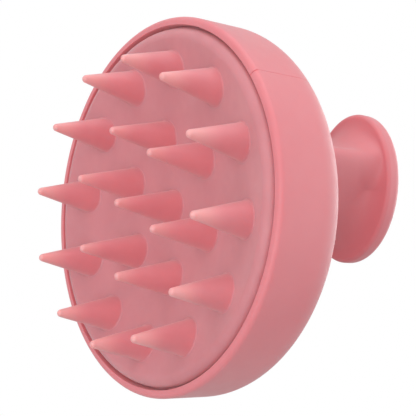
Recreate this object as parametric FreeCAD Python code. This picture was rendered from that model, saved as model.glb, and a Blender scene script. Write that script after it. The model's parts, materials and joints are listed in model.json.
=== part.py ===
import FreeCAD, Part
import math
import os

from FreeCAD import Vector

# Round scalp massager brush. Nineteen soft cone bristles stand on a dished silicone pad, one in the
# middle and two rings about it. The pad's hooked edge wraps a rigid carrier, four screws hold the
# carrier inside a domed housing, and the housing is moulded in one with its hollow waisted grip.
#
# Frame: +Z runs up from the bristle tips to the grip. The origin is on the housing's axis, at the
# level of the outer ring's tips, where the brush stands. The grip is set off the axis towards -X.
# Lengths are in millimetres and angles in degrees.

# Housing
BODY_RADIUS = 40.0            # outside of the round wall
RIM_WALL = 1.75               # wall at the open front, seen as the rim's flat band
SHELL_WALL = 2.2              # wall everywhere else
STRAIGHT_WALL = 11.1          # rim face to where the shoulder starts to round
DOME_RISE = 13.2              # from there to the dome's top
SHOULDER_ROUND = 8.0          # radius of the shoulder between wall and crown
RIM_SETBACK = 1.35            # rim face behind the pad's own edge line
RIM_EDGE_ROUND = 1.0
LEDGE_WIDTH = 1.6             # inner ledge behind the pad's hooked edge
LEDGE_THICKNESS = 1.6

# Bristles
BRISTLE_BASE_RADIUS = 3.8
BRISTLE_TIP_RADIUS = 0.85
OUTER_BRISTLE_LENGTH = 13.1   # tip to pad face in the outer ring
TIP_DISH = 2.2                # the middle tip stands this much higher than the outer ring's
OUTER_COUNT = 12
INNER_COUNT = 6
OUTER_START = 0.0
INNER_START = 45.0
OUTER_RING_INSET = 8.4        # outer ring's circle inside the pad's edge
RING_STEP = 14.1              # outer ring's circle to the inner ring's
PIVOT_HEIGHT = 2.0            # where a bristle bends, above the pad face
SEAT_CLEARANCE = 0.25         # round each bristle's rounded root

# Silicone pad
PAD_GAP = 0.55                # pad's edge to the rim, all round
PAD_THICKNESS = 4.5
FACE_DISH_RADIUS = 116.0      # sphere that the pad's hollow face lies on
PAD_EDGE_ROUND = 2.0
SKIRT_THICKNESS = 2.2
LIP_THICKNESS = 1.5
LIP_REACH = 3.0               # how far the hooked lip covers the carrier's back

# Carrier
CARRIER_THICKNESS = 2.4
CARRIER_CLEARANCE = 0.1       # carrier's edge to the pad's skirt
RIB_THICKNESS = 1.6
RIB_HEIGHT = 2.6
RIB_COUNT = 4
RING_RIB_RADIUS = 11.0
RIM_RIB_INSET = 7.5           # radial ribs stop this far inside the carrier's edge
SCREW_PAD_RADIUS = 4.2
SCREW_PAD_HEIGHT = 1.6

# Screws and their bosses
SCREW_COUNT = 4
SCREW_START = 45.0
SCREW_RADIUS = 1.3
SCREW_LENGTH = 8.0
SCREW_HEAD_RADIUS = 2.5
SCREW_HEAD_HEIGHT = 1.4
DRIVE_WIDTH = 0.6
DRIVE_LENGTH = 2.8
DRIVE_DEPTH = 0.8
SCREW_POINT = 1.2             # length of the screw's tapered end
HOLE_CLEARANCE = 0.2          # round the screw where it passes the carrier
PILOT_CLEARANCE = 0.02        # round the screw in its boss
BOSS_RADIUS = 3.6
PILOT_SPARE = 1.0             # pilot hole beyond the screw's end

# Grip
GRIP_OFFSET = 8.5             # grip's middle from the housing's axis
GRIP_RISE = 32.0              # dome's top to the plate's underside
PLATE_HALF_LENGTH = 18.2
PLATE_HALF_WIDTH = 13.2
PLATE_THICKNESS = 5.0
UNDER_EDGE_ROUND = 1.1        # plate's edge on the underside, where the flare runs into it
TOP_EDGE_ROUND = 2.5          # plate's edge on top
NECK_HALF_LENGTH = 9.2
NECK_HALF_WIDTH = 7.6
NECK_TAPER = 0.4              # wider towards the offset end, narrower towards the nose
END_SQUARENESS = 7.0          # superellipse exponent of the waist at its flat offset end
NOSE_SQUARENESS = 2.2         # and at its rounded nose, nearer the axis
END_FLARE_HEIGHT = 10.5       # height of the flare under the plate, at the offset end
SIDE_FLARE_HEIGHT = 3.0       # at the sides
NOSE_FLARE_HEIGHT = 8.0       # at the nose
EDGE_BLEND = 0.6              # softens where the waist's corners run into the plate's edge
LOFT_LEAD = 2.0               # straight run at the start of the flare's loft
FOOT_RADIUS = 11.0            # fillet between the neck and the crown
NECK_WALL = 2.4
CORE_DRAFT = 0.6              # the hollow narrows this much towards the plate
SECTION_POINTS = 48

# Sizes that follow from the ones above
PAD_RADIUS = BODY_RADIUS - RIM_WALL - PAD_GAP
CARRIER_RADIUS = PAD_RADIUS - SKIRT_THICKNESS - CARRIER_CLEARANCE
OUTER_RING = PAD_RADIUS - OUTER_RING_INSET
INNER_RING = OUTER_RING - RING_STEP
SCREW_RING = (OUTER_RING + INNER_RING) / 2
DISH_CENTRE_Z = OUTER_BRISTLE_LENGTH - math.sqrt(FACE_DISH_RADIUS**2 - OUTER_RING**2)
BACK_DISH = FACE_DISH_RADIUS + PAD_THICKNESS
CARRIER_BACK_DISH = BACK_DISH + CARRIER_THICKNESS
LIP_BACK_DISH = CARRIER_BACK_DISH + LIP_THICKNESS
ROOT_RADIUS = math.hypot(BRISTLE_BASE_RADIUS, PIVOT_HEIGHT)
SHOULDER_CENTRE = BODY_RADIUS - SHOULDER_ROUND
CROWN_RADIUS = (SHOULDER_CENTRE**2 + DOME_RISE**2 - SHOULDER_ROUND**2) / (2 * (DOME_RISE - SHOULDER_ROUND))


def dish_z(dish, r):
    """Height, at distance r from the axis, of the sphere of radius dish about the dish centre."""
    return DISH_CENTRE_Z + math.sqrt(dish**2 - r**2)


RIM_Z = dish_z(FACE_DISH_RADIUS, PAD_RADIUS) + RIM_SETBACK
SHOULDER_Z = RIM_Z + STRAIGHT_WALL
DOME_TOP_Z = SHOULDER_Z + DOME_RISE
PLATE_BOTTOM_Z = DOME_TOP_Z + GRIP_RISE
PLATE_TOP_Z = PLATE_BOTTOM_Z + PLATE_THICKNESS
LOFT_START_Z = PLATE_BOTTOM_Z - max(END_FLARE_HEIGHT, NOSE_FLARE_HEIGHT) - LOFT_LEAD
HEAD_Z = dish_z(BACK_DISH, SCREW_RING - SCREW_HEAD_RADIUS) + CARRIER_CLEARANCE
SCREW_SEAT_Z = HEAD_Z + SCREW_HEAD_HEIGHT
SCREW_PAD_TOP_Z = dish_z(CARRIER_BACK_DISH, SCREW_RING) + SCREW_PAD_HEIGHT
SCREW_END_Z = SCREW_SEAT_Z + SCREW_LENGTH


def on_circle(radius, angle, z=0.0):
    """Point at an angle on a circle about the housing's axis."""
    turn = math.radians(angle)
    return Vector(radius * math.cos(turn), radius * math.sin(turn), z)


def dish_arc(dish, r_from, r_to):
    """Arc of a dish sphere in the XZ plane, between two distances from the axis."""
    r_mid = (r_from + r_to) / 2
    ends = [Vector(r, 0, dish_z(dish, r)) for r in (r_from, r_mid, r_to)]
    return Part.Arc(*ends).toShape()


def line(a, b):
    """Straight edge between two (distance from the axis, height) pairs."""
    return Part.makeLine(Vector(a[0], 0, a[1]), Vector(b[0], 0, b[1]))


def revolve(edges, centre=Vector(0, 0, 0)):
    """Solid of revolution about Z from a closed outline in the XZ plane."""
    face = Part.Face(Part.Wire(edges))
    solid = face.revolve(Vector(0, 0, 0), Vector(0, 0, 1), 360)
    solid.translate(centre)
    return solid


def dish_ring(dish_in, dish_out, r_in, r_out):
    """Ring or disc between two dish spheres and two cylinders."""
    inner_top = (r_in, dish_z(dish_out, r_in))
    inner_low = (r_in, dish_z(dish_in, r_in))
    outer_low = (r_out, dish_z(dish_in, r_out))
    outer_top = (r_out, dish_z(dish_out, r_out))
    return revolve([
        dish_arc(dish_in, r_in, r_out),
        line(outer_low, outer_top),
        dish_arc(dish_out, r_out, r_in),
        line(inner_top, inner_low),
    ])


def cylinder(radius, z_low, z_high, place=Vector(0, 0, 0)):
    """Upright cylinder between two heights, at a place's X and Y."""
    return Part.makeCylinder(radius, z_high - z_low, Vector(place.x, place.y, z_low))


def single(shape):
    """The one solid of a boolean's result, with split faces joined."""
    solids = shape.removeSplitter().Solids
    if len(solids) != 1:
        raise ValueError("expected one solid, got %d" % len(solids))
    return solids[0]


def bristle_places():
    """Name and distance from the axis and angle of every bristle."""
    places = [("bristle_centre", 0.0, 0.0)]
    for i in range(INNER_COUNT):
        angle = INNER_START + 360 * i / INNER_COUNT
        places.append(("bristle_inner_%02d" % (i + 1), INNER_RING, angle))
    for i in range(OUTER_COUNT):
        angle = OUTER_START + 360 * i / OUTER_COUNT
        places.append(("bristle_outer_%02d" % (i + 1), OUTER_RING, angle))
    return places


def pivot_point(radius, angle):
    """Where a bristle bends: on its own axis, just above the pad face."""
    return on_circle(radius, angle, dish_z(FACE_DISH_RADIUS, radius) - PIVOT_HEIGHT)


def tip_z(radius):
    """Height of a bristle's tip. The tips lie on a gentler dish than the pad face."""
    return TIP_DISH * (1 - (radius / OUTER_RING)**2)


def make_bristle(radius, angle):
    """Blunt cone with a rounded root that sits in the pad's seat."""
    pivot = pivot_point(radius, angle)
    base_z = pivot.z + PIVOT_HEIGHT
    tip = tip_z(radius)
    ball_z = tip + BRISTLE_TIP_RADIUS
    base_turn = math.atan2(base_z - ball_z, BRISTLE_BASE_RADIUS)
    reach = math.hypot(BRISTLE_BASE_RADIUS, base_z - ball_z)
    tangent_turn = base_turn - math.acos(BRISTLE_TIP_RADIUS / reach)

    def on_ball(turn):
        return Vector(BRISTLE_TIP_RADIUS * math.cos(turn), 0, ball_z + BRISTLE_TIP_RADIUS * math.sin(turn))

    root_turn = math.atan2(PIVOT_HEIGHT, BRISTLE_BASE_RADIUS)
    root_mid = (root_turn + math.pi / 2) / 2
    base = Vector(BRISTLE_BASE_RADIUS, 0, base_z)
    crown = Vector(0, 0, pivot.z + ROOT_RADIUS)
    root_bulge = Vector(ROOT_RADIUS * math.cos(root_mid), 0, pivot.z + ROOT_RADIUS * math.sin(root_mid))
    low = Vector(0, 0, tip)
    side = on_ball(tangent_turn)
    edges = [
        Part.Arc(low, on_ball((tangent_turn - math.pi / 2) / 2), side).toShape(),
        Part.makeLine(side, base),
        Part.Arc(base, root_bulge, crown).toShape(),
        Part.makeLine(crown, low),
    ]
    return revolve(edges, Vector(pivot.x, pivot.y, 0))


def make_pad():
    """Dished silicone sheet whose skirt and lip hook round the carrier, with a seat per bristle."""
    skirt_in = PAD_RADIUS - SKIRT_THICKNESS
    lip_in = CARRIER_RADIUS - LIP_REACH
    front_z = dish_z(FACE_DISH_RADIUS, PAD_RADIUS)
    pad = revolve([
        dish_arc(FACE_DISH_RADIUS, 0, PAD_RADIUS),
        line((PAD_RADIUS, front_z), (PAD_RADIUS, dish_z(LIP_BACK_DISH, PAD_RADIUS))),
        dish_arc(LIP_BACK_DISH, PAD_RADIUS, lip_in),
        line((lip_in, dish_z(LIP_BACK_DISH, lip_in)), (lip_in, dish_z(CARRIER_BACK_DISH, lip_in))),
        dish_arc(CARRIER_BACK_DISH, lip_in, skirt_in),
        line((skirt_in, dish_z(CARRIER_BACK_DISH, skirt_in)), (skirt_in, dish_z(BACK_DISH, skirt_in))),
        dish_arc(BACK_DISH, skirt_in, 0),
        line((0, dish_z(BACK_DISH, 0)), (0, dish_z(FACE_DISH_RADIUS, 0))),
    ])
    pad = pad.makeFillet(PAD_EDGE_ROUND, [edge_at(pad, PAD_RADIUS, front_z)])
    for _, radius, angle in bristle_places():
        pad = pad.cut(Part.makeSphere(ROOT_RADIUS + SEAT_CLEARANCE, pivot_point(radius, angle)))
    return single(pad)


def edge_at(solid, radius, z):
    """The solid's round edge of a radius about the axis, at a height."""
    for edge in solid.Edges:
        if edge.Degenerated:
            continue
        curve = edge.Curve
        if not isinstance(curve, Part.Circle):
            continue
        if abs(curve.Radius - radius) < 1e-4 and abs(curve.Center.z - z) < 1e-4:
            return edge
    raise ValueError("no edge of radius %.3f at z %.3f" % (radius, z))


def screw_angles():
    """Angles of the screws about the axis."""
    return [SCREW_START + 360 * i / SCREW_COUNT for i in range(SCREW_COUNT)]


def make_carrier():
    """Rigid dished disc with ribs and four thickened screw seats."""
    carrier = dish_ring(BACK_DISH, CARRIER_BACK_DISH, 0, CARRIER_RADIUS)
    rib_dish = CARRIER_BACK_DISH + RIB_HEIGHT
    ribs = dish_ring(BACK_DISH, rib_dish, RING_RIB_RADIUS - RIB_THICKNESS, RING_RIB_RADIUS)
    rib_end = CARRIER_RADIUS - RIM_RIB_INSET
    rib_zone = dish_ring(BACK_DISH, rib_dish, 0, rib_end)
    for i in range(RIB_COUNT):
        bar = Part.makeBox(rib_end, RIB_THICKNESS, 2 * PAD_RADIUS, Vector(0, -RIB_THICKNESS / 2, 0))
        bar.rotate(Vector(0, 0, 0), Vector(0, 0, 1), 360 * i / RIB_COUNT)
        ribs = ribs.fuse(bar.common(rib_zone))
    carrier = carrier.fuse(ribs)
    for angle in screw_angles():
        place = on_circle(SCREW_RING, angle)
        seat = cylinder(SCREW_PAD_RADIUS, 0, SCREW_PAD_TOP_Z, place)
        carrier = carrier.fuse(seat.cut(Part.makeSphere(BACK_DISH, Vector(0, 0, DISH_CENTRE_Z))))
    for angle in screw_angles():
        place = on_circle(SCREW_RING, angle)
        carrier = carrier.cut(cylinder(SCREW_RADIUS + HOLE_CLEARANCE, 0, SCREW_PAD_TOP_Z + 1, place))
        carrier = carrier.cut(cylinder(SCREW_HEAD_RADIUS + HOLE_CLEARANCE, 0, SCREW_SEAT_Z, place))
    return single(carrier)


def make_screws():
    """Four self-tapping screws with cross-recessed heads, as one group of separate solids."""
    screws = []
    for angle in screw_angles():
        place = on_circle(SCREW_RING, angle)
        shank = cylinder(SCREW_RADIUS, SCREW_SEAT_Z, SCREW_END_Z - SCREW_POINT, place)
        point_base = Vector(place.x, place.y, SCREW_END_Z - SCREW_POINT)
        point = Part.makeCone(SCREW_RADIUS, SCREW_RADIUS / 3, SCREW_POINT, point_base)
        head = cylinder(SCREW_HEAD_RADIUS, HEAD_Z, SCREW_SEAT_Z, place)
        screw = head.fuse(shank).fuse(point)
        for turn in (0, 90):
            corner = Vector(-DRIVE_LENGTH / 2, -DRIVE_WIDTH / 2, HEAD_Z - 1)
            slot = Part.makeBox(DRIVE_LENGTH, DRIVE_WIDTH, DRIVE_DEPTH + 1, corner)
            slot.rotate(Vector(0, 0, 0), Vector(0, 0, 1), turn)
            slot.translate(place)
            screw = screw.cut(slot)
        screws.append(single(screw))
    return Part.makeCompound(screws)


def superellipse(turn, half_length, half_width, squareness):
    """Distance from a superellipse's middle to its edge, at an angle from its long axis."""
    along = abs(math.cos(turn)) / half_length
    across = abs(math.sin(turn)) / half_width
    return (along**squareness + across**squareness)**(-1 / squareness)


def neck_reach(turn, grow):
    """Distance from the grip's middle to the waist's side, at an angle from the offset end."""
    lean = math.cos(turn)
    squareness = NOSE_SQUARENESS + (END_SQUARENESS - NOSE_SQUARENESS) * (1 + lean) / 2
    half_width = NECK_HALF_WIDTH * (1 + NECK_TAPER * lean)
    return superellipse(turn, NECK_HALF_LENGTH + grow, half_width + grow, squareness)


def plate_reach(turn, inset):
    """Distance from the grip's middle to the plate's outline moved inwards by inset."""
    return superellipse(turn, PLATE_HALF_LENGTH - inset, PLATE_HALF_WIDTH - inset, 2)


def larger(a, b):
    """The larger of two distances, softened where they are nearly equal."""
    return (a + b + math.hypot(a - b, EDGE_BLEND)) / 2


def flare_reach(turn, below):
    """Distance from the grip's middle to the flare, at a depth below the plate's underside."""
    lean = math.cos(turn)
    end_height = END_FLARE_HEIGHT if lean > 0 else NOSE_FLARE_HEIGHT
    height = SIDE_FLARE_HEIGHT + (end_height - SIDE_FLARE_HEIGHT) * abs(lean)
    climb = max(0, 1 - below / height)
    share = 1 - math.sqrt(1 - climb**2)
    neck = neck_reach(turn, 0)
    return neck + share * (larger(plate_reach(turn, UNDER_EDGE_ROUND), neck) - neck)


def grip_section(reach, z):
    """Closed curve about the grip's middle, from its distance at every angle."""
    points = []
    for i in range(SECTION_POINTS):
        turn = 2 * math.pi * i / SECTION_POINTS
        distance = reach(turn)
        points.append(Vector(-GRIP_OFFSET - distance * math.cos(turn), distance * math.sin(turn), z))
    curve = Part.BSplineCurve()
    curve.interpolate(Points=points, PeriodicFlag=True)
    return Part.Wire(curve.toShape())


def neck_section(grow, z):
    """The waist's section, larger all round by grow."""
    return grip_section(lambda turn: neck_reach(turn, grow), z)


def make_neck():
    """Straight waist from inside the dome up to where the flare's loft begins."""
    return Part.Face(neck_section(0, SHOULDER_Z)).extrude(Vector(0, 0, LOFT_START_Z - SHOULDER_Z))


def make_plate():
    """Flare that grows out of the waist and runs on round the plate's edge."""
    tallest = PLATE_BOTTOM_Z - LOFT_LEAD - LOFT_START_Z
    sections = [neck_section(0, LOFT_START_Z + step * LOFT_LEAD / 2) for step in range(2)]
    for degrees in range(0, 91, 10):
        below = tallest * (1 - math.sin(math.radians(degrees)))
        sections.append(grip_section(lambda turn: flare_reach(turn, below), PLATE_BOTTOM_Z - below))
    for degrees in (-60, -30, 0):
        inset = UNDER_EDGE_ROUND * (1 - math.cos(math.radians(degrees)))
        z = PLATE_BOTTOM_Z + UNDER_EDGE_ROUND * (1 + math.sin(math.radians(degrees)))
        sections.append(grip_section(lambda turn: larger(plate_reach(turn, inset), neck_reach(turn, 0)), z))
    for degrees in range(0, 91, 15):
        inset = TOP_EDGE_ROUND * (1 - math.cos(math.radians(degrees)))
        z = PLATE_TOP_Z - TOP_EDGE_ROUND * (1 - math.sin(math.radians(degrees)))
        sections.append(grip_section(lambda turn: plate_reach(turn, inset), z))
    return Part.makeLoft(sections, True, False)


def make_grip_core():
    """Hollow of the neck, open into the dome and closed by the plate."""
    wide = CORE_DRAFT - NECK_WALL
    narrow = -CORE_DRAFT - NECK_WALL
    low = neck_section(wide, SHOULDER_Z)
    high = neck_section(narrow, PLATE_BOTTOM_Z - NECK_WALL)
    return Part.makeLoft([low, high], True, False)


def dome_solid(inset, z_low):
    """The housing's round outline from a height up, moved inwards by inset."""
    radius = BODY_RADIUS - inset
    shoulder = SHOULDER_ROUND - inset
    crown = CROWN_RADIUS - inset
    crown_z = DOME_TOP_Z - CROWN_RADIUS
    lean = math.atan2(SHOULDER_CENTRE, SHOULDER_Z - crown_z)
    mid = (math.pi / 2 + lean) / 2

    def on_shoulder(turn):
        return Vector(SHOULDER_CENTRE + shoulder * math.sin(turn), 0, SHOULDER_Z + shoulder * math.cos(turn))

    def on_crown(turn):
        return Vector(crown * math.sin(turn), 0, crown_z + crown * math.cos(turn))

    return revolve([
        line((0, z_low), (radius, z_low)),
        line((radius, z_low), (radius, SHOULDER_Z)),
        Part.Arc(on_shoulder(math.pi / 2), on_shoulder(mid), on_shoulder(lean)).toShape(),
        Part.Arc(on_crown(lean), on_crown(lean / 2), on_crown(0)).toShape(),
        line((0, DOME_TOP_Z - inset), (0, z_low)),
    ])


def foot_edges(solid):
    """Edges where the neck meets the crown."""
    found = []
    crown_centre = Vector(0, 0, DOME_TOP_Z - CROWN_RADIUS)
    reach = GRIP_OFFSET + math.hypot(NECK_HALF_LENGTH, NECK_HALF_WIDTH * (1 + NECK_TAPER))
    for edge in solid.Edges:
        if edge.Degenerated:
            continue
        spots = edge.discretize(5)
        on_crown = all(abs(p.distanceToPoint(crown_centre) - CROWN_RADIUS) < 1e-3 for p in spots)
        if on_crown and all(math.hypot(p.x, p.y) < reach for p in spots):
            found.append(edge)
    return found


def make_housing():
    """Domed shell with rim, ledge and screw bosses, in one with the hollow grip."""
    outer = dome_solid(0, RIM_Z)
    outer = outer.makeFillet(RIM_EDGE_ROUND, [edge_at(outer, BODY_RADIUS, RIM_Z)])
    body = single(outer.fuse(make_neck()))
    body = body.makeFillet(FOOT_RADIUS, foot_edges(body)).fuse(make_plate())
    shell = body.cut(dome_solid(SHELL_WALL, RIM_Z - 1)).cut(make_grip_core())
    inner_radius = BODY_RADIUS - SHELL_WALL
    ledge_dish = LIP_BACK_DISH + CARRIER_CLEARANCE
    ledge_in = inner_radius - LEDGE_WIDTH
    shell = shell.cut(dish_ring(BACK_DISH / 2, ledge_dish, 0, BODY_RADIUS - RIM_WALL))
    ledge_out = inner_radius + SHELL_WALL / 2
    shell = shell.fuse(dish_ring(ledge_dish, ledge_dish + LEDGE_THICKNESS, ledge_in, ledge_out))
    pilot_end = SCREW_END_Z + PILOT_SPARE
    for angle in screw_angles():
        place = on_circle(SCREW_RING, angle)
        boss = cylinder(BOSS_RADIUS, SCREW_PAD_TOP_Z, DOME_TOP_Z, place).common(outer)
        pilot = cylinder(SCREW_RADIUS + PILOT_CLEARANCE, SCREW_PAD_TOP_Z - 1, pilot_end, place)
        shell = shell.fuse(boss).cut(pilot)
    return single(shell)


def main():
    """Write every node's STEP file."""
    nodes = {
        "housing": make_housing(),
        "bristle_pad": make_pad(),
        "pad_carrier": make_carrier(),
        "carrier_screws": make_screws(),
    }
    for name, radius, angle in bristle_places():
        nodes[name] = make_bristle(radius, angle)
    os.makedirs("parts", exist_ok=True)
    for name, shape in nodes.items():
        if not shape.isValid():
            raise ValueError("%s is not valid" % name)
        shape.exportStep("parts/%s.step" % name)
        box = shape.BoundBox
        print("%-18s %8.1f mm3  z %6.2f to %6.2f" % (name, shape.Volume, box.ZMin, box.ZMax))


main()
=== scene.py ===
"""Scalp massager brush: the looks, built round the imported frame.

The housing, the pad and the nineteen bristles are fine meshes that stand for their CAD solids. The
carrier and the screws inside stay as CAD made them, with their own materials. Metres throughout.
"""
import json
import math

import bpy
import numpy as np
from mathutils import Matrix, Vector


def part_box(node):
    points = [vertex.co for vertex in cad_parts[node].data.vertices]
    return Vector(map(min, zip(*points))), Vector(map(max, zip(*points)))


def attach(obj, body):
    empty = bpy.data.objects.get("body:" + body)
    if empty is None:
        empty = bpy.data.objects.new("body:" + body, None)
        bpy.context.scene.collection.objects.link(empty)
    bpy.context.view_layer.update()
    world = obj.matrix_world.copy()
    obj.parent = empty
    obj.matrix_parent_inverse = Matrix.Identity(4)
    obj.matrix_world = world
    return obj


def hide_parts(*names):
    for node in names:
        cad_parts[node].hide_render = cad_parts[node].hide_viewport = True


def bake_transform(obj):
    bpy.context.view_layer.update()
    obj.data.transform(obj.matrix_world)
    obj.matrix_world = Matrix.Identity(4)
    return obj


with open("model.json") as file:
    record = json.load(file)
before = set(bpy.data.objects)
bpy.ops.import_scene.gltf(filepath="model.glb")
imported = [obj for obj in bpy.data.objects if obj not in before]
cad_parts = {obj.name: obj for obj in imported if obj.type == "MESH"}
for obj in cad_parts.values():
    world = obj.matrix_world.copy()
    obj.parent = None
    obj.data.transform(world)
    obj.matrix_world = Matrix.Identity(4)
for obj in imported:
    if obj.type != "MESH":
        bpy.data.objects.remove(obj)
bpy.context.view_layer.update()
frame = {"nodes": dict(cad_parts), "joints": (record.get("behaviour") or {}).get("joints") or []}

# Housing sizes
RIM_WALL = 0.00175            # rim's flat band
SHELL_WALL = 0.0022
STRAIGHT_WALL = 0.0111        # rim to where the shoulder starts
DOME_RISE = 0.0132            # from there to the dome's top
SHOULDER_ROUND = 0.0080
RIM_EDGE_ROUND = 0.0010
RIM_INNER_ROUND = 0.00012
RIM_FLAT_SHARES = (0.04, 0.5, 0.96)   # rings across the rim's flat band
BORE_RING_HEIGHT = 0.0030     # a ring of the bore, above the rim
LEDGE_WIDTH = 0.0016
LEDGE_THICKNESS = 0.0016
MOULD_LINE_ANGLES = (45, 225)
MOULD_LINE_WIDTH = 0.00030
MOULD_LINE_DEPTH = 0.00012
RIM_NOTCH_DEPTH = 0.00030
COLUMN_STEP = 1.25            # degrees between the housing's columns
INNER_ROUND_STEPS = 6
EDGE_STEPS = 8
FADE_RINGS = 6                # rings of the shoulder over which the mould line fades

# Grip sizes
GRIP_OFFSET = 0.0085          # grip's middle from the housing's axis, towards -X
PLATE_HALF_LENGTH = 0.0182
PLATE_HALF_WIDTH = 0.0132
PLATE_THICKNESS = 0.0050
UNDER_EDGE_ROUND = 0.0011     # plate's edge on the underside, where the flare runs into it
UNDER_EDGE_START = -80        # degrees, where that edge leaves the flare
TOP_EDGE_ROUND = 0.0025       # plate's edge on top
PLATE_TOP_SHARES = (0.97, 0.85, 0.65, 0.45, 0.25, 0.1)   # rings across the plate's top
NECK_HALF_LENGTH = 0.0092
NECK_HALF_WIDTH = 0.0076
NECK_TAPER = 0.4              # wider towards the offset end, narrower towards the nose
END_SQUARENESS = 7.0          # superellipse exponent at the flat offset end
NOSE_SQUARENESS = 2.2         # and at the rounded nose
END_FLARE_HEIGHT = 0.0105     # height of the flare under the plate, at the offset end
SIDE_FLARE_HEIGHT = 0.0030    # at the sides
NOSE_FLARE_HEIGHT = 0.0080    # at the nose
EDGE_BLEND = 0.0006           # softens where the waist's corners run into the plate's edge
FOOT_RADIUS = 0.0110
NECK_WALL = 0.0024
CORE_DRAFT = 0.0006

# Pad and bristle sizes
PAD_GAP = 0.00055
PAD_THICKNESS = 0.0045
PAD_EDGE_ROUND = 0.0020
PAD_COLUMN_STEP = 1.5         # degrees between the pad's columns
HUB_RADIUS = 0.0005           # smallest ring, which a fan closes
FACE_DISH_RADIUS = 0.116
SKIRT_THICKNESS = 0.0022
LIP_THICKNESS = 0.0015
LIP_REACH = 0.0030
WIPER_DEPTH = 0.0016          # pad's edge to the thin lip that closes the gap
WIPER_SPARE = 0.00006         # that lip to the bore
CARRIER_THICKNESS = 0.0024
CLEARANCE = 0.0001
BRISTLE_BASE_RADIUS = 0.0038
BRISTLE_TIP_RADIUS = 0.00085
PIVOT_HEIGHT = 0.0020         # pad face to where a bristle bends
ROOT_FILLET = 0.0003
ROOT_STEPS = 7
ROOT_SINK = 0.0004            # how far a bristle's open root reaches into the pad
ROOT_SPARE = 0.0004           # between the root fillet and the first level ring
BRISTLE_COLUMN_STEP = 7.5     # degrees between a bristle's columns
PAINTED_GLOW_FROM_Z = 0.0075          # painted glow: the silicone is painted paler from this height down to the tips, for light passing through the thin silicone

# Places that follow from the frame
HOUSING_LOW, HOUSING_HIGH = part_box("housing")
BODY_RADIUS = HOUSING_HIGH.x
RIM_Z = HOUSING_LOW.z
PLATE_TOP_Z = HOUSING_HIGH.z
SHOULDER_Z = RIM_Z + STRAIGHT_WALL
DOME_TOP_Z = SHOULDER_Z + DOME_RISE
PLATE_BOTTOM_Z = PLATE_TOP_Z - PLATE_THICKNESS
FLARE_Z = PLATE_BOTTOM_Z - END_FLARE_HEIGHT
SHOULDER_CENTRE = BODY_RADIUS - SHOULDER_ROUND
CROWN_RADIUS = (SHOULDER_CENTRE**2 + DOME_RISE**2 - SHOULDER_ROUND**2) / (2 * (DOME_RISE - SHOULDER_ROUND))
CROWN_Z = DOME_TOP_Z - CROWN_RADIUS
CROWN_LEAN = math.atan2(SHOULDER_CENTRE, SHOULDER_Z - CROWN_Z)   # crown's outer edge, from the axis
BORE_RADIUS = BODY_RADIUS - RIM_WALL
PAD_RADIUS = BORE_RADIUS - PAD_GAP
CARRIER_RADIUS = PAD_RADIUS - SKIRT_THICKNESS - CLEARANCE
PIVOTS = {joint["child"]: Vector(joint["pos_m"]) for joint in frame["joints"]}
DISH_Z = PIVOTS["bristle_centre_body"].z + PIVOT_HEIGHT - FACE_DISH_RADIUS
BACK_DISH = FACE_DISH_RADIUS + PAD_THICKNESS
CARRIER_DISH = BACK_DISH + CARRIER_THICKNESS
LIP_DISH = CARRIER_DISH + LIP_THICKNESS
LEDGE_DISH = LIP_DISH + CLEARANCE

# Camera, fitted to the rim, the tips and the outline
CAMERA_PLACE = Vector((-0.00602, -0.17511, -0.10794))
CAMERA_AIM = Vector((0.0245, 0.7936, 0.6080))
CAMERA_UP = Vector((-0.9936, 0.0863, -0.0725))
CAMERA_LENS = 87.15
CAMERA_SENSOR = 36.0

# Stage
LIGHT_AIM = Vector((0, 0, 0.03))
WORLD_STRENGTH = 0.43
FLOOR_HALF = 6.0
FLOOR_DROP = 0.0002           # floor below the bristle tips

# Noise values between which a colour or a roughness changes
MOTTLE_FROM = 0.35
MOTTLE_TO = 0.65
GRAIN_FROM = 0.3
GRAIN_TO = 0.7

# Colours
# painted glow: pale pink mixed in towards the bristle tips, standing in for light through the thin silicone
PAINTED_GLOW_PINK = (0.90, 0.38, 0.38)
BRISTLE_PINKS = ((0.74, 0.205, 0.235), (0.78, 0.23, 0.26))
# painted shade: a darker, duller copy of the bristle pinks, for the pad face in shade
PAINTED_SHADE_PAD_PINKS = ((0.62, 0.195, 0.225), (0.66, 0.22, 0.25))
HOUSING_PINKS = ((0.76, 0.205, 0.235), (0.785, 0.225, 0.255))
CARRIER_WHITES = ((0.77, 0.73, 0.70), (0.83, 0.80, 0.77))
STEEL_GREYS = ((0.52, 0.52, 0.53), (0.60, 0.60, 0.61))


# ---------------------------------------------------------------- mesh helpers

def make_piece(name, rings, cap_first, cap_last, material, sharp=40):
    """Mesh of closed rings of points, each joined to the next by quads, with a fan at a capped end.

    Edges that turn by more than sharp degrees stay sharp.
    """
    count = len(rings[0])
    points = [tuple(p) for ring in rings for p in ring]
    faces = []
    for r in range(len(rings) - 1):
        for i in range(count):
            j = (i + 1) % count
            faces.append((r * count + i, r * count + j, (r + 1) * count + j, (r + 1) * count + i))
    if cap_first:
        points.append(tuple(np.mean(rings[0], axis=0)))
        hub = len(points) - 1
        faces += [(hub, (i + 1) % count, i) for i in range(count)]
    if cap_last:
        points.append(tuple(np.mean(rings[-1], axis=0)))
        hub = len(points) - 1
        base = (len(rings) - 1) * count
        faces += [(hub, base + i, base + (i + 1) % count) for i in range(count)]
    mesh = bpy.data.meshes.new(name)
    mesh.from_pydata(points, [], faces)
    mesh.materials.append(material)
    mesh.polygons.foreach_set("use_smooth", [True] * len(mesh.polygons))
    mesh.set_sharp_from_angle(angle=math.radians(sharp))
    mesh.update()
    piece = bpy.data.objects.new(name, mesh)
    bpy.context.scene.collection.objects.link(piece)
    return piece


def ring_at(turns, radius, z):
    """Circle about the housing's axis."""
    return np.column_stack([radius * np.cos(turns), radius * np.sin(turns), np.full(len(turns), z)])


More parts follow.
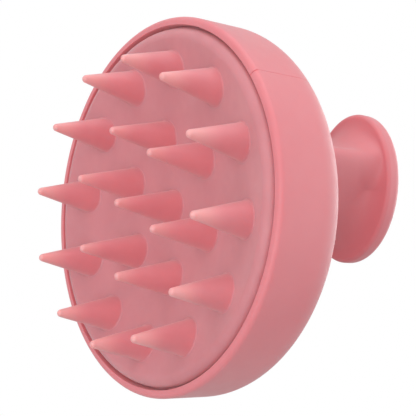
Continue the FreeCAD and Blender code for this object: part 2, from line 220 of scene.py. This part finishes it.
def arc_pairs(centre, radius, start, stop, steps):
    """(distance from the axis, height) pairs along an arc, with angles in degrees from outward."""
    turns = np.radians(np.linspace(start, stop, steps))
    return [(centre[0] + radius * math.cos(t), centre[1] + radius * math.sin(t)) for t in turns]


def dish_z(dish, r):
    """Height of the sphere of radius dish about the dish centre."""
    return DISH_Z + math.sqrt(dish**2 - r**2)


# ---------------------------------------------------------------- materials

def build_material(name, build):
    """Material whose surface build() fills in."""
    material = bpy.data.materials.new(name)
    material.use_nodes = True
    tree = material.node_tree
    shader = tree.nodes["Principled BSDF"]
    build(tree, shader)
    return material


def noise(tree, scale, detail=3.0):
    """Noise over the object's own coordinates. Scale is in cells per metre."""
    coords = tree.nodes.new("ShaderNodeTexCoord")
    node = tree.nodes.new("ShaderNodeTexNoise")
    node.inputs["Scale"].default_value = scale
    node.inputs["Detail"].default_value = detail
    tree.links.new(coords.outputs["Object"], node.inputs["Vector"])
    return node.outputs["Fac"]


def ramp(tree, source, colours):
    """Colour that goes from the first colour to the second as the source rises."""
    node = tree.nodes.new("ShaderNodeValToRGB")
    for stop, place, colour in zip(node.color_ramp.elements, (MOTTLE_FROM, MOTTLE_TO), colours):
        stop.position = place
        stop.color = (*colour, 1)
    tree.links.new(source, node.inputs["Fac"])
    return node.outputs["Color"]


def spread(tree, source, low, high):
    """Number that goes from low to high as the source goes from GRAIN_FROM to GRAIN_TO."""
    node = tree.nodes.new("ShaderNodeMapRange")
    node.inputs["From Min"].default_value = GRAIN_FROM
    node.inputs["From Max"].default_value = GRAIN_TO
    node.inputs["To Min"].default_value = low
    node.inputs["To Max"].default_value = high
    tree.links.new(source, node.inputs["Value"])
    return node.outputs["Result"]


def bump(tree, height, distance, normal=None):
    """Bump from a height source, on top of another bump's normal if there is one."""
    node = tree.nodes.new("ShaderNodeBump")
    node.inputs["Distance"].default_value = distance
    tree.links.new(height, node.inputs["Height"])
    if normal is not None:
        tree.links.new(normal, node.inputs["Normal"])
    return node.outputs["Normal"]


def painted_tip_glow(tree):
    """Painted glow: 0 at the pad face and 1 at the bristles' tips, where the silicone is thin and lets light
    through; the tips are painted paler to stand in for that light.
    """
    coords = tree.nodes.new("ShaderNodeTexCoord")
    split = tree.nodes.new("ShaderNodeSeparateXYZ")
    node = tree.nodes.new("ShaderNodeMapRange")
    node.interpolation_type = "SMOOTHSTEP"
    node.inputs["From Min"].default_value = PAINTED_GLOW_FROM_Z
    node.inputs["From Max"].default_value = 0.0
    tree.links.new(coords.outputs["Object"], split.inputs["Vector"])
    tree.links.new(split.outputs["Z"], node.inputs["Value"])
    return node.outputs["Result"]


def silicone(tree, shader, pinks=BRISTLE_PINKS):
    """Matt, slightly translucent silicone with a faint mottle and a fine satin grain, painted paler towards
    the tips as a painted glow.
    """
    links = tree.links
    mottle = ramp(tree, noise(tree, 130), pinks)
    # painted glow: mixes the colour towards a pale pink near the tips, for light passing through the thin
    # silicone
    mix = tree.nodes.new("ShaderNodeMix")
    mix.data_type = "RGBA"
    mix.inputs["B"].default_value = (*PAINTED_GLOW_PINK, 1)
    links.new(painted_tip_glow(tree), mix.inputs["Factor"])
    links.new(mottle, mix.inputs["A"])
    links.new(mix.outputs["Result"], shader.inputs["Base Color"])
    links.new(spread(tree, noise(tree, 420, 4), 0.50, 0.62), shader.inputs["Roughness"])
    grain = bump(tree, noise(tree, 5200, 2), 0.000012)
    links.new(bump(tree, noise(tree, 260, 2), 0.00006, normal=grain), shader.inputs["Normal"])
    shader.inputs["Subsurface Weight"].default_value = 0.45
    shader.inputs["Subsurface Radius"].default_value = (1.0, 0.28, 0.22)
    shader.inputs["Subsurface Scale"].default_value = 0.0022
    shader.inputs["Specular IOR Level"].default_value = 1.0
    shader.inputs["Sheen Weight"].default_value = 0.30
    shader.inputs["Sheen Roughness"].default_value = 0.6


def pad_silicone_painted_shade(tree, shader):
    """The same silicone on the thicker pad, in darker, duller pinks: painted shade for the pad face, which
    lies in shade.
    """
    silicone(tree, shader, PAINTED_SHADE_PAD_PINKS)


def housing_plastic(tree, shader):
    """Soft matt moulded plastic with a fine spark-eroded grain."""
    links = tree.links
    links.new(ramp(tree, noise(tree, 60), HOUSING_PINKS), shader.inputs["Base Color"])
    links.new(spread(tree, noise(tree, 380, 4), 0.46, 0.58), shader.inputs["Roughness"])
    grain = bump(tree, noise(tree, 4200, 3), 0.000016)
    links.new(bump(tree, noise(tree, 90, 2), 0.00008, normal=grain), shader.inputs["Normal"])
    shader.inputs["Subsurface Weight"].default_value = 0.3
    shader.inputs["Subsurface Radius"].default_value = (1.0, 0.3, 0.25)
    shader.inputs["Subsurface Scale"].default_value = 0.002
    shader.inputs["Specular IOR Level"].default_value = 0.7
    shader.inputs["Sheen Weight"].default_value = 0.25
    shader.inputs["Sheen Roughness"].default_value = 0.6


def carrier_plastic(tree, shader):
    """Natural white moulded plastic."""
    links = tree.links
    links.new(ramp(tree, noise(tree, 90), CARRIER_WHITES), shader.inputs["Base Color"])
    links.new(spread(tree, noise(tree, 500), 0.42, 0.56), shader.inputs["Roughness"])
    links.new(bump(tree, noise(tree, 3800), 0.00002), shader.inputs["Normal"])


def screw_steel(tree, shader):
    """Plain stainless steel with fine turning marks."""
    links = tree.links
    shader.inputs["Metallic"].default_value = 1.0
    links.new(ramp(tree, noise(tree, 900), STEEL_GREYS), shader.inputs["Base Color"])
    links.new(spread(tree, noise(tree, 2600), 0.25, 0.42), shader.inputs["Roughness"])
    links.new(bump(tree, noise(tree, 7000), 0.000008), shader.inputs["Normal"])


SILICONE = build_material("silicone_pink", silicone)
PAD_SILICONE_PAINTED_SHADE = build_material("silicone_pink_pad_painted_shade", pad_silicone_painted_shade)
HOUSING = build_material("housing_pink", housing_plastic)
CARRIER = build_material("carrier_white", carrier_plastic)
STEEL = build_material("screw_steel", screw_steel)


# ---------------------------------------------------------------- housing and grip

def housing_turns():
    """Angles of the housing's columns, with a few close ones at each mould line."""
    even = np.arange(0, 360, COLUMN_STEP)
    half = math.degrees(MOULD_LINE_WIDTH / 2 / BODY_RADIUS)
    close = [a + k * half for a in MOULD_LINE_ANGLES for k in (-2, -1, 0, 1, 2)]
    kept = [t for t in even if all(abs(t - c) > half for c in close)]
    return np.radians(sorted(kept + close))


TURNS = housing_turns()
LEAN = -np.cos(TURNS)          # 1 towards the grip's offset end, -1 towards its nose


def superellipse(half_length, half_width, squareness):
    """Distances from a superellipse's middle to its edge, at every column's angle."""
    along = np.abs(np.cos(TURNS)) / half_length
    across = np.abs(np.sin(TURNS)) / half_width
    return (along**squareness + across**squareness)**(-1 / squareness)


def neck_reach(grow):
    """Distances from the grip's middle to the waist's side: flat at the offset end, a nose at the other."""
    squareness = NOSE_SQUARENESS + (END_SQUARENESS - NOSE_SQUARENESS) * (1 + LEAN) / 2
    half_width = NECK_HALF_WIDTH * (1 + NECK_TAPER * LEAN)
    return superellipse(NECK_HALF_LENGTH + grow, half_width + grow, squareness)


def plate_reach(inset):
    """Distances from the grip's middle to the plate's outline moved inwards by inset."""
    return superellipse(PLATE_HALF_LENGTH - inset, PLATE_HALF_WIDTH - inset, 2)


def larger(a, b):
    """The larger of two distances, softened where they are nearly equal."""
    return (a + b + np.hypot(a - b, EDGE_BLEND)) / 2


def flare_reach(below):
    """Distances from the grip's middle to the flare, at a depth below the plate's underside."""
    end_height = np.where(LEAN > 0, END_FLARE_HEIGHT, NOSE_FLARE_HEIGHT)
    height = SIDE_FLARE_HEIGHT + (end_height - SIDE_FLARE_HEIGHT) * np.abs(LEAN)
    climb = np.clip(1 - below / height, 0, 1)
    share = 1 - np.sqrt(1 - climb**2)
    neck = neck_reach(0)
    return neck + share * (larger(plate_reach(UNDER_EDGE_ROUND), neck) - neck)


def grip_ring(reach, z):
    """Closed ring about the grip's middle, from its distance at every column's angle."""
    x = -GRIP_OFFSET + reach * np.cos(TURNS)
    return np.column_stack([x, reach * np.sin(TURNS), np.zeros(len(TURNS)) + z])


def ring_normals(ring):
    """Level outward directions at a ring's points."""
    along = np.roll(ring, -1, axis=0) - np.roll(ring, 1, axis=0)
    out = np.column_stack([along[:, 1], -along[:, 0], np.zeros(len(ring))])
    return out / np.linalg.norm(out, axis=1)[:, None]


def foot_rings(steps):
    """Rolled fillet from the crown up to the waist's wall."""
    wall = grip_ring(neck_reach(0), 0)
    out = ring_normals(wall)
    ball = wall + FOOT_RADIUS * out
    level = ball[:, 0]**2 + ball[:, 1]**2
    ball[:, 2] = CROWN_Z + np.sqrt((CROWN_RADIUS + FOOT_RADIUS)**2 - level)
    down = np.array([0, 0, CROWN_Z]) - ball
    down /= np.linalg.norm(down, axis=1)[:, None]
    opening = np.arccos(np.clip(np.sum(-out * down, axis=1), -1, 1))[:, None]
    rings = []
    for share in np.linspace(0, 1, steps):
        reach = (np.sin((1 - share) * opening) * down - np.sin(share * opening) * out) / np.sin(opening)
        rings.append(ball + FOOT_RADIUS * reach)
    return rings


def crown_rings(edge, inset, steps):
    """Rings over the crown, from its outer circle to an inner edge that lies on it."""
    radius = CROWN_RADIUS - inset
    circle = ring_at(TURNS, radius * math.sin(CROWN_LEAN), 0)
    rings = []
    for share in np.linspace(0, 1, steps)[1:]:
        ring = circle + share * (edge - circle)
        ring[:, 2] = CROWN_Z + np.sqrt(radius**2 - ring[:, 0]**2 - ring[:, 1]**2)
        rings.append(ring)
    return rings


def plate_rings():
    """Waist, flare and plate, from the foot fillet's top to the middle of the plate's top."""
    neck = neck_reach(0)
    foot_top = foot_rings(2)[-1][:, 2]
    rings = [grip_ring(neck, foot_top + share * (FLARE_Z - foot_top)) for share in np.linspace(0, 1, 9)[1:]]
    for turn in np.radians(np.linspace(0, 90, 41))[1:]:
        below = END_FLARE_HEIGHT * (1 - math.sin(turn))
        rings.append(grip_ring(flare_reach(below), PLATE_BOTTOM_Z - below))
    for turn in np.radians(np.linspace(UNDER_EDGE_START, 0, 11)):
        reach = larger(plate_reach(UNDER_EDGE_ROUND * (1 - math.cos(turn))), neck)
        rings.append(grip_ring(reach, PLATE_BOTTOM_Z + UNDER_EDGE_ROUND * (1 + math.sin(turn))))
    for turn in np.radians(np.linspace(0, 90, 19)):
        reach = plate_reach(TOP_EDGE_ROUND * (1 - math.cos(turn)))
        rings.append(grip_ring(reach, PLATE_TOP_Z - TOP_EDGE_ROUND * (1 - math.sin(turn))))
    flat = plate_reach(TOP_EDGE_ROUND)
    rings += [grip_ring(flat * share, PLATE_TOP_Z) for share in PLATE_TOP_SHARES]
    return rings


def mould_line_mask():
    """1 at each mould line's middle column and 0 away from it."""
    mask = np.zeros(len(TURNS))
    for angle in MOULD_LINE_ANGLES:
        away = np.abs(TURNS - math.radians(angle)) * BODY_RADIUS
        mask = np.maximum(mask, np.clip(1 - away / (MOULD_LINE_WIDTH / 2), 0, 1))
    return mask


def cavity_rings():
    """Inside of the grip and the crown, from the top of the hollow waist out to the inner shoulder."""
    core_top = grip_ring(neck_reach(-NECK_WALL - CORE_DRAFT), PLATE_BOTTOM_Z - NECK_WALL)
    core_low = grip_ring(neck_reach(-NECK_WALL + CORE_DRAFT), 0)
    inner_crown = CROWN_RADIUS - SHELL_WALL
    core_low[:, 2] = CROWN_Z + np.sqrt(inner_crown**2 - core_low[:, 0]**2 - core_low[:, 1]**2)
    rings = [core_top + share * (core_low - core_top) for share in np.linspace(0, 1, 8)]
    outwards = crown_rings(core_low, SHELL_WALL, 8)[:-1]
    return rings + outwards[::-1]


def bore_pairs():
    """(distance from the axis, height) pairs from the inner shoulder down to the rim's inner round."""
    inner_radius = BODY_RADIUS - SHELL_WALL
    ledge_in = inner_radius - LEDGE_WIDTH
    inner_shoulder = SHOULDER_ROUND - SHELL_WALL
    pairs = arc_pairs((SHOULDER_CENTRE, SHOULDER_Z), inner_shoulder, 90 - math.degrees(CROWN_LEAN), 0, 10)
    pairs += [
        (inner_radius, dish_z(LEDGE_DISH + LEDGE_THICKNESS, inner_radius)),
        (ledge_in, dish_z(LEDGE_DISH + LEDGE_THICKNESS, ledge_in)),
        (ledge_in, dish_z(LEDGE_DISH, ledge_in)),
        (BORE_RADIUS, dish_z(LEDGE_DISH, BORE_RADIUS)),
        (BORE_RADIUS, RIM_Z + BORE_RING_HEIGHT),
    ]
    round_centre = (BORE_RADIUS + RIM_INNER_ROUND, RIM_Z + RIM_INNER_ROUND)
    return pairs + arc_pairs(round_centre, RIM_INNER_ROUND, 180, 270, INNER_ROUND_STEPS)


def make_housing():
    """Hollow moulding: cavity, bore, rim, wall, shoulder, crown and grip, with its mould line."""
    rings = cavity_rings()
    pairs = bore_pairs()
    flat_out = BODY_RADIUS - RIM_EDGE_ROUND
    flat_in = BORE_RADIUS + RIM_INNER_ROUND
    first_flat = len(rings) + len(pairs)
    pairs += [(flat_in + share * (flat_out - flat_in), RIM_Z) for share in RIM_FLAT_SHARES]
    first_edge = len(rings) + len(pairs)
    pairs += arc_pairs((flat_out, RIM_Z + RIM_EDGE_ROUND), RIM_EDGE_ROUND, -90, 0, EDGE_STEPS)
    last_edge = len(rings) + len(pairs) - 1
    wall_low = RIM_Z + RIM_EDGE_ROUND
    pairs += [(BODY_RADIUS, wall_low + share * (SHOULDER_Z - wall_low)) for share in np.linspace(0, 1, 9)[1:]]
    shoulder_start = len(rings) + len(pairs)
    shoulder_stop = 90 - math.degrees(CROWN_LEAN)
    pairs += arc_pairs((SHOULDER_CENTRE, SHOULDER_Z), SHOULDER_ROUND, 0, shoulder_stop, 17)[1:]
    rings += [ring_at(TURNS, r, z) for r, z in pairs]
    shoulder_end = len(rings)

    # The mould line: a fine groove up the wall that fades over the shoulder, and a nick in the rim
    mask = mould_line_mask()
    for k in range(first_edge, shoulder_end):
        fade = np.clip(1 - (k - shoulder_start) / FADE_RINGS, 0, 1)
        rings[k][:, :2] *= 1 - (MOULD_LINE_DEPTH * fade * mask / BODY_RADIUS)[:, None]
    for k in range(first_flat - INNER_ROUND_STEPS // 2, last_edge):
        rings[k][:, 2] += RIM_NOTCH_DEPTH * mask

    foot = foot_rings(17)
    rings += crown_rings(foot[0], 0, 14)
    rings += foot[1:]
    rings += plate_rings()
    piece = make_piece("housing_shell", rings, True, True, HOUSING)
    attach(piece, "brush_body")
    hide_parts("housing")


# ---------------------------------------------------------------- pad

def make_pad():
    """Dished face with a rounded edge, a thin lip to the bore, and the skirt and lip round the carrier."""
    turns = np.radians(np.arange(0, 360, PAD_COLUMN_STEP))
    skirt_in = PAD_RADIUS - SKIRT_THICKNESS
    lip_in = CARRIER_RADIUS - LIP_REACH
    round_r = PAD_RADIUS - PAD_EDGE_ROUND
    round_z = DISH_Z + math.sqrt((FACE_DISH_RADIUS + PAD_EDGE_ROUND)**2 - round_r**2)
    lean = math.degrees(math.atan2(round_z - DISH_Z, round_r))
    face_out = round_r * FACE_DISH_RADIUS / (FACE_DISH_RADIUS + PAD_EDGE_ROUND)
    pairs = [(r, dish_z(FACE_DISH_RADIUS, r)) for r in np.linspace(HUB_RADIUS, face_out, 60)]
    pairs += arc_pairs((round_r, round_z), PAD_EDGE_ROUND, lean - 180, 0, 20)[1:]
    wiper_z = dish_z(FACE_DISH_RADIUS, PAD_RADIUS) + PAD_EDGE_ROUND + WIPER_DEPTH
    wiper_r = BORE_RADIUS - WIPER_SPARE
    pairs += [
        (PAD_RADIUS, wiper_z - 0.5 * PAD_GAP),
        (PAD_RADIUS + 0.25 * PAD_GAP, wiper_z - 0.12 * PAD_GAP),
        (wiper_r, wiper_z),
        (wiper_r, wiper_z + 0.5 * PAD_GAP),
        (PAD_RADIUS, wiper_z + PAD_GAP),
        (PAD_RADIUS, dish_z(LIP_DISH, PAD_RADIUS)),
        (lip_in, dish_z(LIP_DISH, lip_in)),
        (lip_in, dish_z(CARRIER_DISH, lip_in)),
        (skirt_in, dish_z(CARRIER_DISH, skirt_in)),
    ]
    pairs += [(r, dish_z(BACK_DISH, r)) for r in np.linspace(skirt_in, HUB_RADIUS, 12)]
    rings = [ring_at(turns, r, z) for r, z in pairs]
    piece = make_piece("pad_skin", rings, True, True, PAD_SILICONE_PAINTED_SHADE)
    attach(piece, "brush_body")
    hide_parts("bristle_pad")


# ---------------------------------------------------------------- bristles

def bristle_pairs(length):
    """(distance from the axis, drop from the pad face) pairs down a bristle's side and round its tip."""
    drop = length - BRISTLE_TIP_RADIUS
    reach = math.hypot(BRISTLE_BASE_RADIUS, drop)
    turn = math.atan2(drop, BRISTLE_BASE_RADIUS) - math.acos(BRISTLE_TIP_RADIUS / reach)
    side = (BRISTLE_TIP_RADIUS * math.cos(turn), drop - BRISTLE_TIP_RADIUS * math.sin(turn))
    pairs = []
    for share in np.linspace(0, 1, 22):
        pairs.append((BRISTLE_BASE_RADIUS + share * (side[0] - BRISTLE_BASE_RADIUS), share * side[1]))
    for lean in np.linspace(-turn, math.pi / 2, 10)[1:-1]:
        pairs.append((BRISTLE_TIP_RADIUS * math.cos(lean), drop + BRISTLE_TIP_RADIUS * math.sin(lean)))
    return pairs


def face_ring(pivot, radius, turns):
    """Ring about a bristle's axis that lies on the pad's dished face."""
    x = pivot.x + radius * np.cos(turns)
    y = pivot.y + radius * np.sin(turns)
    return np.column_stack([x, y, DISH_Z + np.sqrt(FACE_DISH_RADIUS**2 - x**2 - y**2)])


def root_rings(pivot, corner, narrow, turns):
    """Small fillet between the pad's face and a bristle's side, with a ring sunk into the pad below it."""
    on_face = face_ring(pivot, corner + ROOT_FILLET, turns)
    at_corner = face_ring(pivot, corner, turns)
    inwards = narrow * ROOT_FILLET
    drop = np.full(len(turns), ROOT_FILLET)
    on_side = at_corner - np.column_stack([inwards * np.cos(turns), inwards * np.sin(turns), drop])
    rings = [on_face + np.array([0, 0, ROOT_SINK])]
    for share in np.linspace(0, 1, ROOT_STEPS):
        rings.append((1 - share)**2 * on_face + 2 * share * (1 - share) * at_corner + share**2 * on_side)
    return rings


def make_bristle(node):
    """Blunt cone whose root flares into the pad, built about its pivot from the frame."""
    body = node + "_body"
    pivot = PIVOTS[body]
    base_z = pivot.z + PIVOT_HEIGHT
    turns = np.radians(np.arange(0, 360, BRISTLE_COLUMN_STEP))
    pairs = bristle_pairs(base_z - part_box(node)[0].z)
    reach = math.hypot(pivot.x, pivot.y)
    slope = reach / math.sqrt(FACE_DISH_RADIUS**2 - reach**2)
    away = np.array([pivot.x, pivot.y]) / reach if reach else np.array([1.0, 0.0])

    # The face slopes, so the cone meets it at a distance that changes round the root
    uphill = (np.cos(turns) * away[0] + np.sin(turns) * away[1]) * slope
    narrow = (BRISTLE_BASE_RADIUS - pairs[1][0]) / pairs[1][1]
    rings = root_rings(pivot, BRISTLE_BASE_RADIUS * (1 - narrow * uphill), narrow, turns)
    first_drop = ROOT_FILLET + slope * BRISTLE_BASE_RADIUS + ROOT_SPARE
    for radius, drop in pairs:
        if drop >= first_drop:
            ring = ring_at(turns, radius, base_z - drop)
            rings.append(ring + np.array([pivot.x, pivot.y, 0]))
    piece = make_piece(node + "_skin", rings, True, True, SILICONE, sharp=80)
    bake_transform(piece)
    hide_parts(node)


# ---------------------------------------------------------------- stage

def make_camera():
    """Camera at the photograph's viewing angle."""
    data = bpy.data.cameras.new("camera")
    data.lens = CAMERA_LENS
    data.sensor_width = CAMERA_SENSOR
    data.clip_start = 0.01
    data.clip_end = 20
    camera = bpy.data.objects.new("camera", data)
    bpy.context.scene.collection.objects.link(camera)
    aim = CAMERA_AIM.normalized()
    right = aim.cross(CAMERA_UP).normalized()
    up = right.cross(aim)
    turn = Matrix((right, up, -aim)).transposed().to_4x4()
    camera.matrix_world = Matrix.Translation(CAMERA_PLACE) @ turn
    bpy.context.scene.camera = camera


def make_light(name, place, size, power):
    """Round soft white light that looks at the brush."""
    data = bpy.data.lights.new(name, "AREA")
    data.shape = "DISK"
    data.size = size
    data.energy = power
    light = bpy.data.objects.new(name, data)
    bpy.context.scene.collection.objects.link(light)
    light.location = place
    aim = LIGHT_AIM - Vector(place)
    light.rotation_euler = aim.to_track_quat("-Z", "Y").to_euler()


def make_world(strength):
    """White surroundings: plain white to the camera, dimmer as a light."""
    world = bpy.data.worlds.new("world")
    bpy.context.scene.world = world
    world.use_nodes = True
    tree = world.node_tree
    back = tree.nodes["Background"]
    back.inputs["Color"].default_value = (1, 1, 1, 1)
    path = tree.nodes.new("ShaderNodeLightPath")
    mix = tree.nodes.new("ShaderNodeMapRange")
    mix.inputs["To Min"].default_value = strength
    mix.inputs["To Max"].default_value = 1.0
    tree.links.new(path.outputs["Is Camera Ray"], mix.inputs["Value"])
    tree.links.new(mix.outputs["Result"], back.inputs["Strength"])


def make_floor():
    """Pale floor under the bristle tips. It is one-sided, so the view from below sees past it."""
    mesh = bpy.data.meshes.new("floor")
    corners = [(x * FLOOR_HALF, y * FLOOR_HALF, 0) for x, y in ((-1, -1), (1, -1), (1, 1), (-1, 1))]
    mesh.from_pydata(corners, [], [(0, 1, 2, 3)])
    floor = bpy.data.objects.new("floor", mesh)
    floor.location.z = -FLOOR_DROP
    bpy.context.scene.collection.objects.link(floor)
    material = bpy.data.materials.new("floor_white")
    material.use_nodes = True
    tree = material.node_tree
    out = tree.nodes["Material Output"]
    shader = tree.nodes["Principled BSDF"]
    shader.inputs["Base Color"].default_value = (0.9, 0.9, 0.9, 1)
    shader.inputs["Roughness"].default_value = 0.8
    shader.inputs["Emission Color"].default_value = (1, 1, 1, 1)
    shader.inputs["Emission Strength"].default_value = 0.3
    clear = tree.nodes.new("ShaderNodeBsdfTransparent")
    side = tree.nodes.new("ShaderNodeNewGeometry")
    mix = tree.nodes.new("ShaderNodeMixShader")
    tree.links.new(side.outputs["Backfacing"], mix.inputs["Fac"])
    tree.links.new(shader.outputs["BSDF"], mix.inputs[1])
    tree.links.new(clear.outputs["BSDF"], mix.inputs[2])
    tree.links.new(mix.outputs["Shader"], out.inputs["Surface"])
    mesh.materials.append(material)
    floor.visible_shadow = False
    floor.visible_diffuse = False
    floor.visible_glossy = False


make_camera()
make_world(WORLD_STRENGTH)
make_light("grip_side_softbox", (-0.9, -0.15, -0.12), 1.2, 4.8)
make_light("front_softbox", (-0.1, -0.6, -0.72), 0.9, 3.0)
make_light("bristle_side_softbox", (0.0, -0.1, -0.9), 0.9, 1.9)
make_light("right_softbox", (-0.2, -0.55, 0.6), 0.9, 1.7)
make_light("lower_softbox", (0.5, -0.4, -0.75), 0.9, 0.9)
make_light("overhead_softbox", (-0.1, 0.1, 0.7), 0.5, 1.5)
make_floor()
bpy.context.scene.view_settings.view_transform = "Standard"

make_housing()
make_pad()
for node in sorted(frame["nodes"]):
    if node.startswith("bristle_") and node != "bristle_pad":
        make_bristle(node)
for node, material in (("pad_carrier", CARRIER), ("carrier_screws", STEEL)):
    frame["nodes"][node].data.materials.clear()
    frame["nodes"][node].data.materials.append(material)
